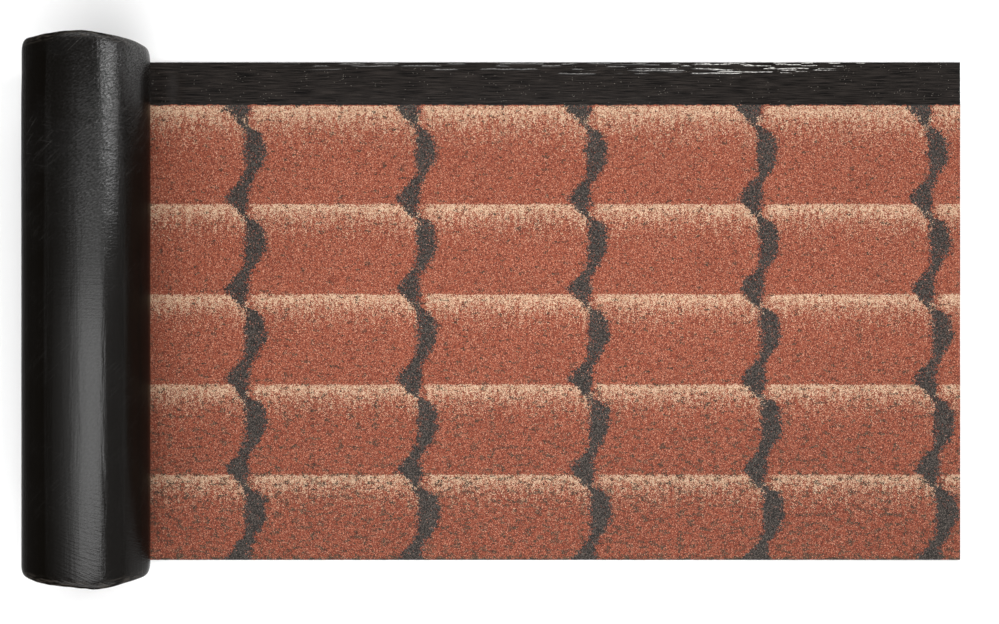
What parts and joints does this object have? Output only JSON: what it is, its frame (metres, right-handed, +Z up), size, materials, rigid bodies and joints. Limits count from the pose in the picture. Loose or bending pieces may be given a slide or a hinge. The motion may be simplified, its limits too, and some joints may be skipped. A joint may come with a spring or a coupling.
{
  "type": "roofing felt roll",
  "caption": "Roll of mineral-faced roofing felt in a tile pattern, black film side out, lying with its free length unrolled flat; bore through the roll, bare lap strip along one edge.",
  "frame": {"origin": "middle of the footprint, on the floor below the sheet", "axes": "+X along the sheet from the roll to the cut end, +Y across it towards the bare lap strip, +Z up; the roll's bore lies along Y"},
  "size_m": [1.825, 1, 0.2303],
  "materials": {
    "mineral_felt": "matt stone granules in a red tile pattern on bitumen; thin black film on the back"
  },
  "bodies": {
    "root": {"roofing_felt": "mineral_felt"}
  },
  "joints": []
}
